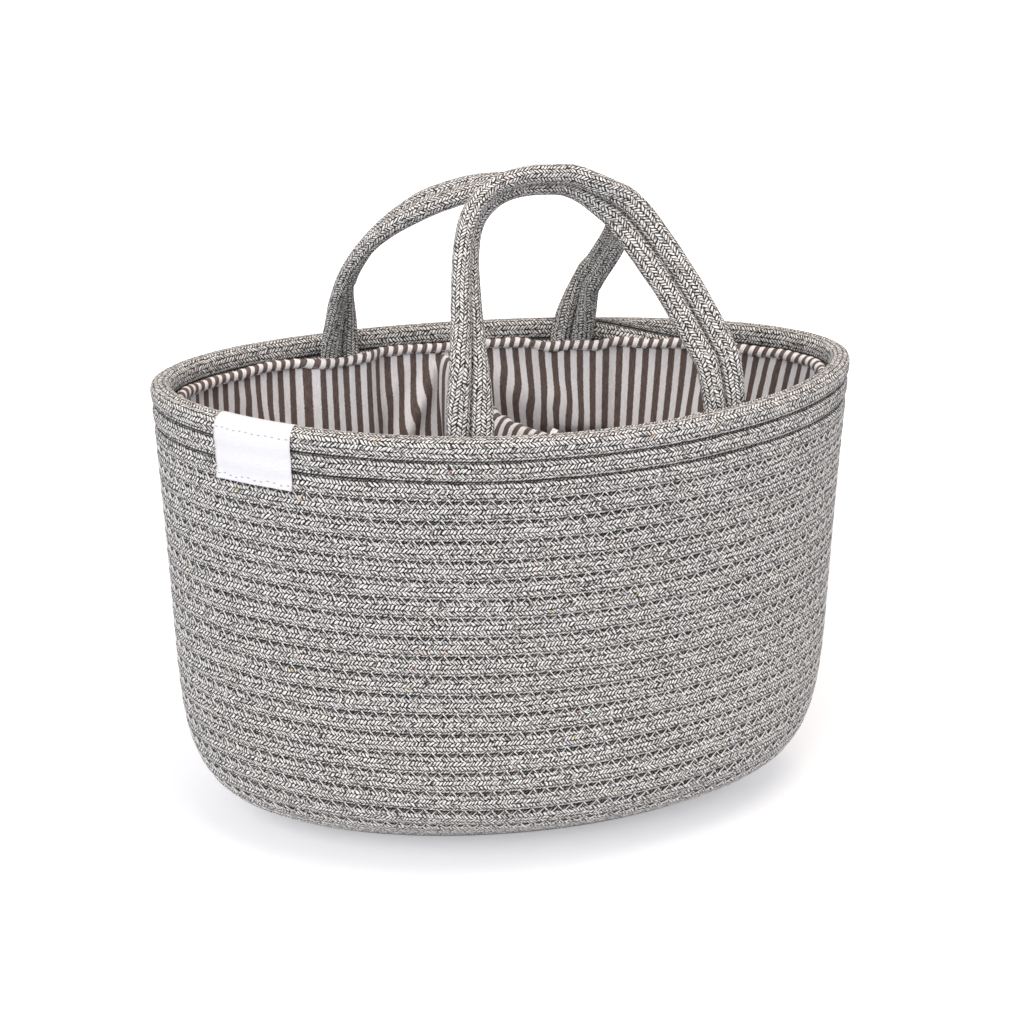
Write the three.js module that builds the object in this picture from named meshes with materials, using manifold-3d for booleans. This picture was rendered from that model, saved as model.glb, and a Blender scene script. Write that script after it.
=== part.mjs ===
// A rope nursery caddy: an oval basket of rope wound in level rows, lined with gathered cotton,
// with a padded divider and two handles of doubled rope that are sewn in behind the rim.
//
// Lengths are in millimetres. +X runs along the basket to its right end, +Z is up and the front
// faces -Y. The origin is on the ground under the middle of the basket.

import * as THREE from 'three';
import Module from 'manifold-3d';

// Basket, outside
const basketLength = 330.2;
const basketDepth = 177.8;
const basketHeight = 228.6;
const rimSaddle = 5.7; // the rim's ends stand this much above its middle
const ovalPowerShare = 1.88; // 2 would be an ellipse

// Wall section: it curls in to the base, most at the ends, and is slightly drawn in at the waist
const endFootInset = 56.5;
const endFootRise = 20.5;
const sideFootInset = 43;
const sideFootRise = 21.1;
const sideFootPowerShare = 1.8;
const endWaist = 2.2;
const sideWaist = 8.4;

// Rope of the wall
const ropeDiameter = 9.6;
const rowPitch = 9.9;
const stepsPerRow = 24;
const climbSteps = 2; // steps in which the rope climbs to the next row
const climbStation = 5; // the climb ends here, at the back
const ropeSides = 6;
const baseEdgeSteps = 4;

// Lining
const liningThickness = 1.2;
const closestStationShare = 0.03; // of a rope step, between two stations of the lining
const liningLevelShares = [
  0, 0.015, 0.03, 0.05, 0.07, 0.1, 0.14, 0.19, 0.27, 0.4, 0.54, 0.66, 0.76, 0.82, 0.9, 1,
];
const hemHeight = 5;
const hemWidth = 4.2;
const hemCloth = 0.8;
const hemDrop = 8.5; // from the rim's top down to the hem's top
const elasticThickness = 1.6;
const elasticWidth = 3;

// Handles
const handleRopeDiameter = 9.6;
const handleSides = 8;
const handleSpan = 118;
const hingeRise = 7.4; // from the rim's top up to the line where the ropes bend
const footLength = 52;
const footMargin = 12; // cloth beside a handle's foot that still lies over it
const footStationShares = [-2, -1.5, -1, 1, 1.5, 2]; // of that margin, where the lining bends
const footRows = 5;
const footHeadShare = 0.6; // of its radius, at a foot's top
const footHeadDrop = 1.6;
const ropeEndShares = [0.985, 0.86, 0.5]; // rings of a rope's round end, from its tip
const frontHandleCentre = 31;
const frontHandleHeight = 98.5;
const backHandleCentre = -15;
const backHandleHeight = 92;
const archSteps = 22;
// Along the span and up the arch. The first leg stands steep and the last one slants in front; at
// the back the first leg leans out beyond its foot.
const frontArchShares = [
  [0, 0], [0.018, 0.12], [0.035, 0.3], [0.067, 0.64], [0.115, 0.84], [0.2, 0.95], [0.31, 1],
  [0.42, 1.004], [0.524, 0.99], [0.639, 0.906], [0.723, 0.81], [0.853, 0.526], [0.946, 0.26],
  [0.99, 0.1], [1, 0],
];
const backArchShares = [
  [0, 0], [-0.012, 0.08], [-0.05, 0.22], [-0.09, 0.395], [-0.1, 0.537], [-0.075, 0.68],
  [-0.009, 0.83], [0.097, 0.95], [0.224, 1.01], [0.36, 1.02], [0.491, 1], [0.602, 0.955],
  [0.714, 0.865], [0.842, 0.687], [0.935, 0.47], [0.975, 0.27], [0.994, 0.1], [1, 0],
];
const handles = [
  {
    name: 'front',
    side: -1,
    centre: frontHandleCentre,
    height: frontHandleHeight,
    leanDegrees: 30,
    archShares: frontArchShares,
  },
  {
    name: 'back',
    side: 1,
    centre: backHandleCentre,
    height: backHandleHeight,
    leanDegrees: 34,
    archShares: backArchShares,
  },
];

// Divider
const dividerTop = 214;
const dividerDip = 6; // its top edge hangs this much lower in the middle
const dividerEdge = 7;
const dividerCrown = 4; // the padding's extra thickness in the middle
const coverCloth = 0.9;
const dividerSteps = 12;
// Plan route from the back wall to the front wall, as shares of half the length and half the depth
const dividerRouteShares = [
  [-0.105, 0.92], [-0.1, 0.66], [-0.088, 0.4], [-0.06, 0.1], [-0.01, -0.2], [0.06, -0.42],
  [0.145, -0.61], [0.24, -0.8],
];
const dividerRowShares = [0, 0.04, 0.2, 0.4, 0.6, 0.8, 0.93, 0.98, 1];
const dividerThickShares = [1, 1, 1, 1, 1, 1, 0.96, 0.82, 0.5];

// Label, folded over the rim
const labelWidth = 34;
const labelDrop = 27.4;
const labelTuck = 2.5; // below the rim rope's middle, inside
const labelThickness = 0.7;
const labelInset = 44.1; // its middle from the basket's left end
const foldSteps = 6;

// Clearances
const fitGap = 0.4; // between pieces that touch on the real basket
const seatGap = 0.3; // under a piece that rests on another

const halvings = 40; // of a span in which a level is looked for

const ropeRadius = ropeDiameter / 2;
const waistSpan = basketHeight - ropeRadius;
const handleRadius = handleRopeDiameter / 2;
const liningDepth = ropeDiameter + fitGap;
const liningInside = liningDepth + liningThickness;
const footDepth = ropeDiameter + fitGap + handleRadius;
const footBulge = handleRopeDiameter + fitGap;
const pairOffset = (handleRopeDiameter + fitGap) / 2;
const hingeHeight = basketHeight + hingeRise;
const labelCentre = labelInset - basketLength / 2;

const ropeTurns = Array.from({ length: stepsPerRow }, (_, k) => k / stepsPerRow);
const xAxis = new THREE.Vector3(1, 0, 0);
const yAxis = new THREE.Vector3(0, 1, 0);
const up = new THREE.Vector3(0, 0, 1);

const wasm = await Module();
wasm.setup();

// Shape of the wall

function signedPower(value, power) {
  return Math.sign(value) * Math.abs(value) ** power;
}

function rounded(value) {
  return signedPower(value, 2 / ovalPowerShare);
}

// Half the wall's length and depth at a level, and how fast both shrink on the way up.
function wallSection(level) {
  const arc = Math.PI * level / waistSpan;
  const bend = Math.PI / waistSpan * Math.cos(arc);
  const endCurl = endFootInset * Math.exp(-level / endFootRise);
  const sideCurl = sideFootInset * Math.exp(-((level / sideFootRise) ** sideFootPowerShare));
  const sideFall = sideFootPowerShare / sideFootRise * (level / sideFootRise) ** (sideFootPowerShare - 1);
  return {
    halfLength: basketLength / 2 - endCurl - endWaist * Math.sin(arc),
    halfDepth: basketDepth / 2 - sideCurl - sideWaist * Math.sin(arc),
    endSlope: endWaist * bend - endCurl / endFootRise,
    sideSlope: sideWaist * bend - sideCurl * sideFall,
  };
}

// A point of the wall's outer face with its normal and the level direction outwards. turn goes
// from 0 at the right end through 0.25 at the back to 1.
function wallFrame(turn, level) {
  const { halfLength, halfDepth, endSlope, sideSlope } = wallSection(level);
  const cosine = Math.cos(2 * Math.PI * turn);
  const sine = Math.sin(2 * Math.PI * turn);
  const power = 2 - 2 / ovalPowerShare;
  const outward = new THREE.Vector3(
    signedPower(cosine, power) / halfLength,
    signedPower(sine, power) / halfDepth,
    0,
  ).normalize();
  const x = halfLength * rounded(cosine);
  const saddle = rimSaddle * ((2 * x / basketLength) ** 2 - 1 / 2) * (level / basketHeight) ** 2;
  const point = new THREE.Vector3(x, halfDepth * rounded(sine), level + saddle);
  const slope = outward.x * rounded(cosine) * endSlope + outward.y * rounded(sine) * sideSlope;
  return { point, outward, normal: outward.clone().setZ(slope).normalize() };
}

// A point at depthIn inside the wall's outer face, square to it.
function wallPoint(turn, level, depthIn) {
  const { point, normal } = wallFrame(turn, level);
  return point.addScaledVector(normal, -depthIn);
}

// The same between two stations of the wound rope, on the straight line that joins them.
function facetPoint(turn, level, depthIn) {
  const station = Math.floor(turn * stepsPerRow);
  const from = wallPoint(station / stepsPerRow, level, depthIn);
  const to = wallPoint((station + 1) / stepsPerRow, level, depthIn);
  return from.lerp(to, turn * stepsPerRow - station);
}

// Halves the span from low to high until it closes in on where isBelow stops being true.
function findEdge(low, high, isBelow) {
  for (let i = 0; i < halvings; i += 1) {
    const middle = (low + high) / 2;
    if (isBelow(middle)) low = middle;
    else high = middle;
  }
  return high;
}

// The turn at which the wall passes x, on the back (side 1) or the front (side -1).
function turnAt(x, side, level, depthIn) {
  const turn = findEdge(0, 1 / 2, (middle) => wallPoint(middle, level, depthIn).x > x);
  return side > 0 ? turn : 1 - turn;
}

// The level whose point at depthIn stands at the given height.
function levelAt(turn, height, depthIn) {
  return findEdge(0, basketHeight, (middle) => wallPoint(turn, middle, depthIn).z < height);
}

function alongWall(turn, level, depthIn) {
  const station = Math.floor(turn * stepsPerRow);
  const from = wallPoint(station / stepsPerRow, level, depthIn);
  return wallPoint((station + 1) / stepsPerRow, level, depthIn).sub(from).normalize();
}

function smooth(value) {
  const t = THREE.MathUtils.clamp(value, 0, 1);
  return t * t * (3 - 2 * t);
}

// Closed bodies

// Skins rings of equal point counts. A closed stack joins its last ring to its first; an open
// one is capped by zipping each end ring's first half to its second half.
function skinRings(rings, closed = false) {
  const count = rings[0].length;
  const positions = rings.flat().flatMap((point) => point.toArray());
  const faces = [];
  const quad = (a, b, c, d) => faces.push(a, b, c, a, c, d);
  const spans = closed ? rings.length : rings.length - 1;
  for (let i = 0; i < spans; i += 1) {
    const low = i * count;
    const high = ((i + 1) % rings.length) * count;
    for (let j = 0; j < count; j += 1) {
      const next = (j + 1) % count;
      quad(low + j, low + next, high + next, high + j);
    }
  }
  if (!closed) {
    const last = (rings.length - 1) * count;
    for (let j = 0; j < count / 2 - 1; j += 1) {
      quad(count - 1 - j, count - 2 - j, j + 1, j);
      quad(last + j, last + j + 1, last + count - 2 - j, last + count - 1 - j);
    }
  }
  const geometry = new THREE.BufferGeometry();
  geometry.setAttribute('position', new THREE.Float32BufferAttribute(positions, 3));
  geometry.setIndex(signedVolume(positions, faces) < 0 ? faces.reverse() : faces);
  geometry.computeVertexNormals();
  return geometry;
}

function signedVolume(positions, faces) {
  const corner = (k) => new THREE.Vector3().fromArray(positions, 3 * faces[k]);
  let volume = 0;
  for (let k = 0; k < faces.length; k += 3) {
    volume += corner(k).dot(corner(k + 1).cross(corner(k + 2))) / 6;
  }
  return volume;
}

function toManifold(geometry) {
  return new wasm.Manifold(new wasm.Mesh({
    numProp: 3,
    vertProperties: geometry.attributes.position.array,
    triVerts: Uint32Array.from(geometry.index.array),
  }));
}

function cutOut(geometry, hole) {
  const { numProp, vertProperties, triVerts } = toManifold(geometry).subtract(toManifold(hole)).getMesh();
  const cut = new THREE.BufferGeometry();
  cut.setAttribute('position', new THREE.BufferAttribute(vertProperties, numProp));
  cut.setIndex(new THREE.BufferAttribute(triVerts, 1));
  cut.computeVertexNormals();
  return cut;
}

// A ring of sides points round a centre, in the plane of two square axes.
function circle(centre, radius, sides, across, along) {
  return Array.from({ length: sides }, (_, k) => {
    const angle = 2 * Math.PI * k / sides;
    return centre.clone()
      .addScaledVector(across, radius * Math.cos(angle))
      .addScaledVector(along, radius * Math.sin(angle));
  });
}

const caddy = new THREE.Group();

const ropeMaterial = { color: 0xa8a49f, roughness: 0.95, metalness: 0 };
const liningMaterial = { color: 0xa19896, roughness: 0.9, metalness: 0 };
const foamMaterial = { color: 0xe9e4d4, roughness: 1, metalness: 0 };
const elasticMaterial = { color: 0xf3f1ec, roughness: 0.8, metalness: 0 };
const labelMaterial = { color: 0xf1f1f3, roughness: 0.7, metalness: 0 };

function addPiece(name, geometry, look) {
  const mesh = new THREE.Mesh(geometry, new THREE.MeshStandardMaterial(look));
  mesh.name = name;
  caddy.add(mesh);
}

// Rope wall and base

const endTurn = 0;
const sideTurn = 1 / 4;

// The next row lies one pitch further down, measured square to the rope.
function nextRowDown(turn, level) {
  const centre = wallPoint(turn, level, ropeRadius);
  const ropeWay = wallFrame(turn, level).outward.cross(up);
  return level - findEdge(0, 2 * rowPitch, (drop) => (
    wallPoint(turn, level - drop, ropeRadius).sub(centre).projectOnPlane(ropeWay).length() < rowPitch
  ));
}

// Levels of the wound rows from the lowest up, at each station round the oval. The rows lie one
// pitch apart everywhere, and their number is what fits above the ground at the sides.
function rowLevels() {
  const top = basketHeight - ropeRadius;
  let count = 0;
  for (let level = top; wallPoint(sideTurn, level, ropeRadius).z > ropeRadius + seatGap; count += 1) {
    level = nextRowDown(sideTurn, level);
  }
  return ropeTurns.map((turn) => {
    const levels = [top];
    while (levels.length < count) levels.unshift(nextRowDown(turn, levels[0]));
    return levels;
  });
}

function coilCentres(levels) {
  const rowCount = levels[0].length;
  const steps = rowCount * stepsPerRow - climbSteps;
  return Array.from({ length: steps + 1 }, (_, i) => {
    const row = Math.floor(i / stepsPerRow);
    const climb = Math.max(0, i % stepsPerRow - (stepsPerRow - climbSteps)) / climbSteps;
    const station = (i + climbStation) % stepsPerRow;
    const next = levels[station][Math.min(row + 1, rowCount - 1)];
    return { turn: ropeTurns[station], level: THREE.MathUtils.lerp(levels[station][row], next, climb) };
  });
}

function buildWallCoil(levels) {
  const rings = coilCentres(levels).map(({ turn, level }) => {
    const { outward, normal } = wallFrame(turn, level);
    const upWall = normal.clone().cross(outward.clone().cross(up).negate());
    return circle(wallPoint(turn, level, ropeRadius), ropeRadius, ropeSides, normal, upWall);
  });
  console.log(`wall_coil: least gap to itself ${leastGap(rings).toFixed(2)} mm`);
  return skinRings(rings);
}

// Least distance from points on the rope's faces to the faces of its other turns.
function leastGap(rings) {
  const triangle = new THREE.Triangle();
  const nearest = new THREE.Vector3();
  let least = Infinity;
  for (let i = 0; i + stepsPerRow + climbSteps < rings.length; i += 1) {
    const middles = rings[i].map((point, k) => point.clone().lerp(rings[i + 1][k], 1 / 2));
    for (let j = i + stepsPerRow - climbSteps; j <= i + stepsPerRow + climbSteps; j += 1) {
      for (let k = 0; k < ropeSides; k += 1) {
        const next = (k + 1) % ropeSides;
        const corners = [rings[j][k], rings[j][next], rings[j + 1]?.[next], rings[j + 1]?.[k]];
        if (!corners[2]) continue;
        for (const [a, b, c] of [[0, 1, 2], [0, 2, 3]]) {
          triangle.set(corners[a], corners[b], corners[c]);
          for (const point of [...rings[i], ...middles]) {
            triangle.closestPointToPoint(point, nearest);
            least = Math.min(least, point.distanceTo(nearest));
          }
        }
      }
    }
  }
  return least;
}

// The flat coils of the base are one oval plate as thick as the rope, with a round edge that
// lies against the lowest wound row.
function buildBase(levels) {
  const apart = ropeDiameter + fitGap;
  return skinRings(Array.from({ length: baseEdgeSteps + 1 }, (_, k) => {
    const angle = Math.PI * (k / baseEdgeSteps - 1 / 2);
    return ropeTurns.map((turn, station) => {
      const [lowest] = levels[station];
      const row = wallPoint(turn, lowest, ropeRadius);
      const reach = Math.sqrt(apart ** 2 - (row.z - ropeRadius) ** 2);
      return row
        .addScaledVector(wallFrame(turn, lowest).outward, ropeRadius * Math.cos(angle) - reach)
        .setZ(ropeRadius * (1 + Math.sin(angle)));
    });
  }));
}

// Handles

function handlePlan({ side, centre, leanDegrees }) {
  const level = basketHeight - ropeRadius;
  const turns = [side, -side].map((end) => turnAt(centre + end * handleSpan / 2, side, level, footDepth));
  const [start, finish] = turns.map((turn) => facetPoint(turn, level, footDepth).setZ(hingeHeight));
  const along = finish.clone().sub(start).normalize();
  const inward = up.clone().cross(along);
  const lean = THREE.MathUtils.degToRad(leanDegrees);
  const rise = up.clone().multiplyScalar(Math.cos(lean)).addScaledVector(inward, Math.sin(lean));
  return { turns, start, finish, along, rise, span: start.distanceTo(finish) };
}

// One rope of a handle. offset moves it out of (+) or into (-) the pair's middle line.
function buildHandleRope(plan, { height, archShares }, offset) {
  const curve = new THREE.CatmullRomCurve3(
    archShares.map(([s, h]) => new THREE.Vector3(s * plan.span, h * height, 0)),
    false,
    'centripetal',
  );
  const flat = curve.getSpacedPoints(archSteps);
  const normal = plan.along.clone().cross(plan.rise);
  const rings = [];
  const place = (x, h) => plan.start.clone()
    .addScaledVector(plan.along, x)
    .addScaledVector(plan.rise, h);
  const round = (x, h, drop, tangent) => {
    const across = plan.along.clone().multiplyScalar(tangent.y).addScaledVector(plan.rise, -tangent.x);
    const radius = Math.sqrt(handleRadius ** 2 - drop ** 2);
    rings.push(circle(place(x, h), radius, handleSides, across, normal));
  };
  const sink = (share) => share * handleRadius;
  const downward = yAxis.clone().negate();
  ropeEndShares.forEach((share) => round(-offset, -sink(share), sink(share), yAxis));
  flat.forEach((point, i) => {
    let tangent = curve.getTangentAt(i / archSteps);
    if (i === 0) tangent = yAxis;
    if (i === archSteps) tangent = downward;
    round(point.x - offset * tangent.y, point.y + offset * tangent.x, 0, tangent);
  });
  ropeEndShares.toReversed().forEach((share) => {
    round(plan.span + offset, -sink(share), sink(share), downward);
  });
  return skinRings(rings);
}

// A sewn end of a handle rope: it goes down between the rope wall and the lining.
function buildFoot(plan, leg, offset) {
  const turn = plan.turns[leg];
  const top = leg ? plan.finish : plan.start;
  const out = leg ? offset : -offset;
  const head = top.clone().addScaledVector(plan.along, out).setZ(hingeHeight - handleRadius - seatGap);
  const neck = head.clone().addScaledVector(up, -footHeadDrop);
  const rings = [
    circle(head, footHeadShare * handleRadius, handleSides, xAxis, yAxis),
    circle(neck, handleRadius, handleSides, xAxis, yAxis),
  ];
  for (let i = 0; i < footRows; i += 1) {
    const level = basketHeight - i / (footRows - 1) * footLength;
    const way = alongWall(turn, level, footDepth);
    way.multiplyScalar(Math.sign(way.dot(plan.along)));
    const centre = facetPoint(turn, level, footDepth).addScaledVector(way, out);
    rings.push(circle(centre, handleRadius, handleSides, xAxis, yAxis));
  }
  return skinRings(rings);
}

const handlePlans = handles.map(handlePlan);
const footTurns = handlePlans.flatMap(({ turns }) => turns);

// Lining

// How far the lining bulges inwards over the handles' feet.
function bulge(turn, level) {
  const below = basketHeight - footLength - footMargin;
  const rise = smooth((level - below) / footMargin);
  const here = facetPoint(turn, level, footDepth);
  const reach = footTurns.map((footTurn) => {
    const away = facetPoint(footTurn, level, footDepth).distanceTo(here);
    return 1 - smooth((away - footMargin) / footMargin);
  });
  return footBulge * rise * Math.max(...reach);
}

// Stations round the oval: those of the rope and a few more at each foot.
function liningTurns() {
  const level = basketHeight - ropeRadius;
  const extra = footTurns.flatMap((footTurn) => {
    const { x } = facetPoint(footTurn, level, footDepth);
    const side = footTurn < 1 / 2 ? 1 : -1;
    return footStationShares.map((share) => turnAt(x + share * footMargin, side, level, footDepth));
  });
  const closest = closestStationShare / stepsPerRow;
  const kept = extra.filter((turn) => ropeTurns.every((other) => Math.abs(turn - other) > closest));
  return [...ropeTurns, ...kept].sort((a, b) => a - b);
}

// Sweeps a closed section of [level, depth inside the wall] points round the basket.
function sweepSection(section, turns, closed) {
  return skinRings(turns.map((turn) => section.map(([level, depth]) => (
    facetPoint(turn, level, depth + (depth > 0 ? bulge(turn, level) : 0))
  ))), closed);
}

const hemTop = basketHeight - hemDrop;
const hemBottom = hemTop - hemHeight;
const liningTop = hemBottom - seatGap;

const liningFoot = ropeDiameter + seatGap;

function buildLiningWall(turns) {
  return skinRings(turns.map((turn) => {
    const bottom = levelAt(turn, liningFoot, liningDepth);
    const levels = liningLevelShares.map((share) => THREE.MathUtils.lerp(bottom, liningTop, share));
    const face = (depth) => levels.map((level) => (
      facetPoint(turn, level, depth + bulge(turn, level))
    ));
    return [...face(liningDepth), ...face(liningInside).reverse()];
  }), true);
}

// The hem is folded over a flat elastic and open below.
function buildHem(turns) {
  const outerFace = liningDepth;
  const innerFace = liningDepth + hemWidth;
  return sweepSection([
    [hemBottom, outerFace],
    [hemTop - hemCloth, outerFace],
    [hemTop, outerFace + hemCloth],
    [hemTop, innerFace - hemCloth],
    [hemTop - hemCloth, innerFace],
    [hemBottom, innerFace],
    [hemBottom, innerFace - hemCloth],
    [hemTop - hemCloth, innerFace - hemCloth],
    [hemTop - hemCloth, outerFace + hemCloth],
    [hemBottom, outerFace + hemCloth],
  ], turns, true);
}

function buildElastic(turns) {
  const middle = liningDepth + hemWidth / 2;
  const top = hemTop - hemCloth - seatGap;
  const outerFace = middle - elasticThickness / 2;
  const innerFace = middle + elasticThickness / 2;
  return sweepSection([
    [top - elasticWidth, outerFace],
    [top, outerFace],
    [top, innerFace],
    [top - elasticWidth, innerFace],
  ], turns, true);
}

function buildLiningFloor() {
  const oval = (height) => ropeTurns.map((turn) => {
    const level = levelAt(turn, liningFoot, liningDepth);
    return wallPoint(turn, level, liningInside)
      .addScaledVector(wallFrame(turn, level).outward, -fitGap)
      .setZ(height);
  });
  return skinRings([oval(liningFoot), oval(liningFoot + liningThickness)]);
}

// Label

function buildLabel() {
  const side = -1;
  const level = basketHeight - ropeRadius;
  const turns = [-1 / 2, 1 / 2].map((end) => {
    const near = turnAt(labelCentre, side, level, 0);
    const step = alongWall(near, level, 0).multiplyScalar(end * labelWidth);
    return turnAt(labelCentre + step.x, side, level, 0);
  }).sort((a, b) => a - b);
  const between = ropeTurns.filter((turn) => turn > turns[0] && turn < turns[1]);
  const stations = [turns[0], ...between, turns[1]];
  const face = (gap) => {
    const radius = ropeRadius + gap;
    const fold = Array.from({ length: foldSteps + 1 }, (_, k) => {
      const angle = Math.PI * k / foldSteps;
      return [level + radius * Math.sin(angle), ropeRadius - radius * Math.cos(angle)];
    });
    return [[basketHeight - labelDrop, -gap], ...fold, [level - labelTuck, ropeRadius + radius]];
  };
  const section = [...face(fitGap + labelThickness), ...face(fitGap).reverse()];
  return skinRings(stations.map((turn) => section.map(([at, depth]) => facetPoint(turn, at, depth))));
}

// Divider

const dividerFoot = liningFoot + liningThickness + seatGap;

const dividerRoute = new THREE.CatmullRomCurve3(dividerRouteShares.map(([x, y]) => (
  new THREE.Vector3(x * basketLength / 2, y * basketDepth / 2, 0)
)));

const roomSteps = 60;
const roomDepth = liningDepth + hemWidth + fitGap;

// The least room inside the lining from a height upwards, so that the divider lifts out.
function roomAbove(height) {
  const lowest = levelAt(sideTurn, height, roomDepth);
  const levels = Array.from({ length: roomSteps + 1 }, (_, k) => (
    THREE.MathUtils.lerp(lowest, basketHeight, k / roomSteps)
  ));
  return {
    halfLength: Math.min(...levels.map((level) => wallPoint(endTurn, level, roomDepth).x)),
    halfDepth: Math.min(...levels.map((level) => wallPoint(sideTurn, level, roomDepth).y)),
  };
}

function routeFrame(share) {
  const point = dividerRoute.getPointAt(share);
  const tangent = dividerRoute.getTangentAt(share);
  return { point, tangent, normal: tangent.clone().cross(up) };
}

function fitsRoom(share, room) {
  const { point, normal } = routeFrame(share);
  return [-1, 1].every((face) => {
    const corner = point.clone().addScaledVector(normal, face * dividerEdge / 2);
    const x = Math.abs(corner.x / room.halfLength) ** ovalPowerShare;
    const y = Math.abs(corner.y / room.halfDepth) ** ovalPowerShare;
    return x + y < 1;
  });
}

// Where the divider's two upright edges lie on its route, at one height.
function dividerEnds(height) {
  const room = roomAbove(height);
  const middle = 1 / 2;
  const back = middle - findEdge(0, middle, (away) => fitsRoom(middle - away, room));
  const front = middle + findEdge(0, middle, (away) => fitsRoom(middle + away, room));
  return [back, front];
}

const dividerLength = dividerRoute.getLength();
const dividerShares = Array.from({ length: dividerSteps - 1 }, (_, k) => (k + 1) / dividerSteps);

// One upright section of the divider, sunk by inset from its outside: up one face, down the other.
// Its lowest points stand drop below the divider's foot.
function dividerSection(share, inset, drop) {
  const left = [];
  const right = [];
  dividerRowShares.forEach((rowShare, row) => {
    const top = dividerTop - dividerDip * Math.sin(Math.PI * share) - inset;
    const height = THREE.MathUtils.lerp(dividerFoot, top, rowShare);
    const [back, front] = dividerEnds(height);
    const { point, normal } = routeFrame(THREE.MathUtils.lerp(back, front, share));
    const swell = Math.sin(Math.PI * share) * Math.sqrt(Math.sin(Math.PI * rowShare));
    const padding = dividerCrown * swell;
    const half = (dividerEdge + padding) / 2 * dividerThickShares[row] - inset;
    const stand = row ? height : height - drop;
    left.push(point.clone().addScaledVector(normal, half).setZ(stand));
    right.push(point.clone().addScaledVector(normal, -half).setZ(stand));
  });
  return [...left, ...right.reverse()];
}

function buildDividerBody(end, inset, drop) {
  const shares = [end, ...dividerShares, 1 - end];
  return skinRings(shares.map((share) => dividerSection(share, inset, drop)));
}

// The cover is a sleeve with its mouth at the bottom, and the foam fills it.
function buildDividerCover() {
  const pocket = buildDividerBody(coverCloth / dividerLength, coverCloth, fitGap);
  return cutOut(buildDividerBody(0, 0, 0), pocket);
}

function buildDividerFoam() {
  const inset = coverCloth + seatGap;
  return buildDividerBody(inset / dividerLength, inset, 0);
}

// The whole caddy

const coilLevels = rowLevels();
const liningStations = liningTurns();
addPiece('wall_coil', buildWallCoil(coilLevels), ropeMaterial);
addPiece('base_coil', buildBase(coilLevels), ropeMaterial);
addPiece('lining_wall', buildLiningWall(liningStations), liningMaterial);
addPiece('lining_floor', buildLiningFloor(), liningMaterial);
addPiece('lining_hem', buildHem(liningStations), liningMaterial);
addPiece('hem_elastic', buildElastic(liningStations), elasticMaterial);
addPiece('label', buildLabel(), labelMaterial);
addPiece('divider_cover', buildDividerCover(), liningMaterial);
addPiece('divider_foam', buildDividerFoam(), foamMaterial);

handles.forEach((handle, k) => {
  const { name } = handle;
  const plan = handlePlans[k];
  [['outer', pairOffset], ['inner', -pairOffset]].forEach(([rope, offset]) => {
    addPiece(`${name}_handle_${rope}_rope`, buildHandleRope(plan, handle, offset), ropeMaterial);
    ['steep', 'slanting'].forEach((leg, end) => {
      addPiece(`${name}_${leg}_${rope}_foot`, buildFoot(plan, end, offset), ropeMaterial);
    });
  });
});

export default caddy;
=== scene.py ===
import math
from functools import partial

import bmesh
import bpy
import numpy as np
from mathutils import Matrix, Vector


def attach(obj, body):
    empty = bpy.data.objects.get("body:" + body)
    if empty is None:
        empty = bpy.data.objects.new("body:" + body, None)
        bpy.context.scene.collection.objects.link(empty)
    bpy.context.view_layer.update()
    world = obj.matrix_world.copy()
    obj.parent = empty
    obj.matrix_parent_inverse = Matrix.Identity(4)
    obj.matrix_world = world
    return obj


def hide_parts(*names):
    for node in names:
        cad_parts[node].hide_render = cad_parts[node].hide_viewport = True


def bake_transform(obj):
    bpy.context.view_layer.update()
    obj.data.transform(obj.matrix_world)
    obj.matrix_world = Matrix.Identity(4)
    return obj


# A rope nursery caddy: a wall of wound rope, a gathered striped lining, a padded divider and two
# handles of doubled rope. Shapes are worked out in millimetres and turned to metres once, in
# finishPiece. +X is the basket's right end, -Y its front.

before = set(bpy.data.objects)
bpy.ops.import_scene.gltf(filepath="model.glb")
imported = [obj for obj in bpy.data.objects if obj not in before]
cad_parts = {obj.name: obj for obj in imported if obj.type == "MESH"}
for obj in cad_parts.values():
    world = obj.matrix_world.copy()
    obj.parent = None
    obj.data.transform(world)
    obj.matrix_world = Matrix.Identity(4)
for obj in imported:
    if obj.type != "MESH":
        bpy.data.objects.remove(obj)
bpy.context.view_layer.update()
scene = bpy.context.scene
metres = 0.001
up = np.array([0.0, 0.0, 1.0])
print("frame loaded")


# A new object in the scene
def newObject(name, data):
    made = bpy.data.objects.new(name, data)
    scene.collection.objects.link(made)
    return made


def meshObject(name, mesh):
    data = bpy.data.meshes.new(name)
    mesh.to_mesh(data)
    mesh.free()
    return newObject(name, data)


# Camera at the photograph's view

view = {
    "azimuth": -9.22, "elevation": 23.115, "distance": 922.8, "target": (2.13, 0, 155.71),
    "lens": 67.04, "film": 36, "clipStart": 0.05, "clipEnd": 50,  # the clips are in metres
}

azimuth, elevation = math.radians(view["azimuth"]), math.radians(view["elevation"])
backward = Vector((
    math.sin(azimuth) * math.cos(elevation),
    -math.cos(azimuth) * math.cos(elevation),
    math.sin(elevation),
))
camera = newObject("camera", bpy.data.cameras.new("camera"))
camera.data.lens, camera.data.sensor_width = view["lens"], view["film"]
camera.data.clip_start, camera.data.clip_end = view["clipStart"], view["clipEnd"]
camera.location = (Vector(view["target"]) + backward * view["distance"]) * metres
camera.rotation_euler = backward.to_track_quat("Z", "Y").to_euler()
scene.camera = camera
print("camera placed")

# Shape of the wall: an oval that curls in to the base and is slightly drawn in at the waist

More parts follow.
